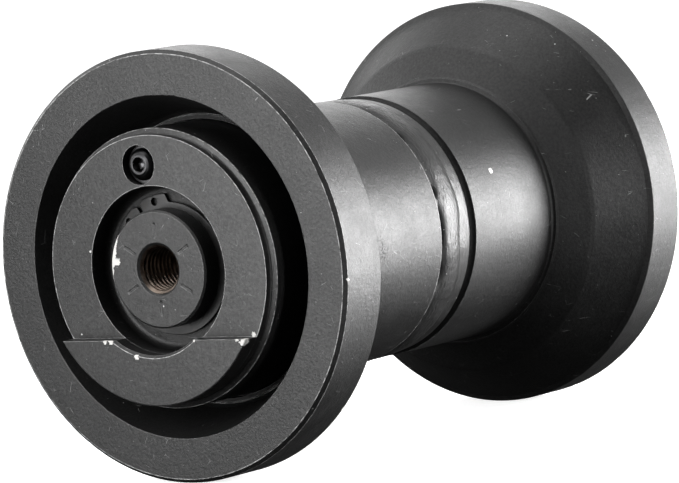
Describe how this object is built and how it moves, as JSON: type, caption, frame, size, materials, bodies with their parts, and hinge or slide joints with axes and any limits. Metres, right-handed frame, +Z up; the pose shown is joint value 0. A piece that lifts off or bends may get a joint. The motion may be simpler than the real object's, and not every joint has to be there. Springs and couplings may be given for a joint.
{
  "type": "track roller",
  "caption": "Double-flanged steel roller that turns on a fixed shaft, with a stepped collar and a threaded mounting hole at each end, for the underside of a tracked machine.",
  "frame": {"origin": "centre of the roller: on its axis, midway between the outer faces of the two flanges", "axes": "+Y along the roller's axis from the near end to the far end, +Z up towards the machine, the way the collars' ledges face"},
  "size_m": [0.176, 0.2762, 0.176],
  "materials": {
    "shell_paint": "satin black paint",
    "weld_paint": "glossy black paint over weld ripples",
    "collar_paint": "satin black paint with fine dust",
    "shaft_paint": "satin black paint on the ends, ground steel inside",
    "bronze": "machined bronze",
    "seal_iron": "lapped cast iron",
    "nitrile": "matt black nitrile rubber",
    "spring_steel": "phosphated spring steel under thin black paint",
    "pin_steel": "ground steel",
    "plug_steel": "black painted steel",
    "copper": "copper washer under black paint"
  },
  "bodies": {
    "axle": {"shaft": "shaft_paint", "collar_near": "collar_paint", "circlip_near": "spring_steel", "o_ring_near": "nitrile", "seal_ring_fixed_near": "seal_iron", "toric_fixed_near": "nitrile", "dowel_near": "pin_steel", "filler_plug_near": "plug_steel", "plug_washer_near": "copper", "collar_far": "collar_paint", "circlip_far": "spring_steel", "o_ring_far": "nitrile", "seal_ring_fixed_far": "seal_iron", "toric_fixed_far": "nitrile", "dowel_far": "pin_steel", "filler_plug_far": "plug_steel", "plug_washer_far": "copper"},
    "roller": {"weld_bead": "weld_paint", "shell_near": "shell_paint", "bushing_near": "bronze", "seal_ring_rotating_near": "seal_iron", "toric_rotating_near": "nitrile", "shell_far": "shell_paint", "bushing_far": "bronze", "seal_ring_rotating_far": "seal_iron", "toric_rotating_far": "nitrile"}
  },
  "joints": [
    {"name": "roller_spin", "type": "hinge", "parent": "axle", "child": "roller", "pos_m": [0, 0, 0], "axis": [0, 1, 0], "continuous": true}
  ]
}
